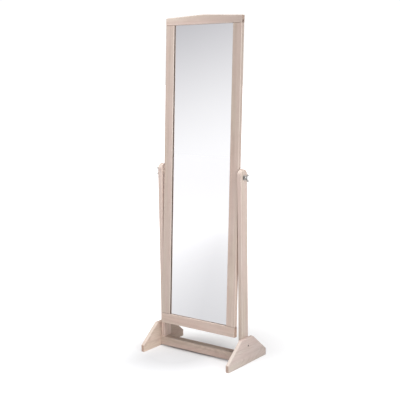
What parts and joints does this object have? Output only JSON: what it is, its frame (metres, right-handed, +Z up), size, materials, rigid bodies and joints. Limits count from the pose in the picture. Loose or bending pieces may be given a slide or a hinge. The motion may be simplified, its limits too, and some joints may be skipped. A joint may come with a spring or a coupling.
{
  "type": "cheval floor mirror",
  "caption": "Tall narrow floor mirror in a pale wooden frame with a low gabled top, tilting between half-height posts on trapezoid feet and held by wing nuts.",
  "frame": {"origin": "on the floor, in the middle between the two feet and halfway along them", "axes": "+X to the viewer's right as they face the mirror, +Y to the back, +Z up"},
  "size_m": [0.5526, 0.32, 1.6513],
  "materials": {
    "whitewashed_wood": "pale whitewashed beech with a matt soaped surface and fine straight grain",
    "mirror": "clear silvered float glass",
    "foam": "soft closed-cell foam strip",
    "hardboard": "smooth brown hardboard",
    "rubber_pad": "dense black rubber",
    "brass_insert": "plain turned brass",
    "zinc_steel": "zinc-plated steel with soft cast and turned marks",
    "dark_steel": "blackened steel",
    "natural_nylon": "matt undyed nylon",
    "beech_dowel": "bare fluted beech"
  },
  "bodies": {
    "stand": {"left_spacer": "natural_nylon", "right_spacer": "natural_nylon", "left_washer": "zinc_steel", "right_washer": "zinc_steel", "left_spring_washer": "dark_steel", "right_spring_washer": "dark_steel", "left_foot": "whitewashed_wood", "right_foot": "whitewashed_wood", "left_post": "whitewashed_wood", "right_post": "whitewashed_wood", "stretcher": "whitewashed_wood", "left_foot_bolt": "dark_steel", "right_foot_bolt": "dark_steel", "left_post_insert": "brass_insert", "right_post_insert": "brass_insert", "post_dowels": "beech_dowel", "stretcher_dowels": "beech_dowel"},
    "mirror": {"top_rail": "whitewashed_wood", "bottom_rail": "whitewashed_wood", "left_stile": "whitewashed_wood", "right_stile": "whitewashed_wood", "mirror_glass": "mirror", "foam_strips": "foam", "backing_board": "hardboard", "setting_blocks": "rubber_pad", "left_stile_insert": "brass_insert", "right_stile_insert": "brass_insert", "left_pivot_stud": "zinc_steel", "right_pivot_stud": "zinc_steel"},
    "left_wing_nut": {"left_wing_nut": "zinc_steel"},
    "right_wing_nut": {"right_wing_nut": "zinc_steel"}
  },
  "joints": [
    {"name": "mirror_tilt", "type": "hinge", "parent": "stand", "child": "mirror", "pos_m": [0, 0.005, 0.896], "axis": [-1, 0, 0], "continuous": true},
    {"name": "left_wing_nut_turn", "type": "hinge", "parent": "mirror", "child": "left_wing_nut", "pos_m": [-0.2597, 0.005, 0.896], "axis": [-1, 0, 0], "continuous": true},
    {"name": "right_wing_nut_turn", "type": "hinge", "parent": "mirror", "child": "right_wing_nut", "pos_m": [0.2597, 0.005, 0.896], "axis": [1, 0, 0], "continuous": true}
  ]
}
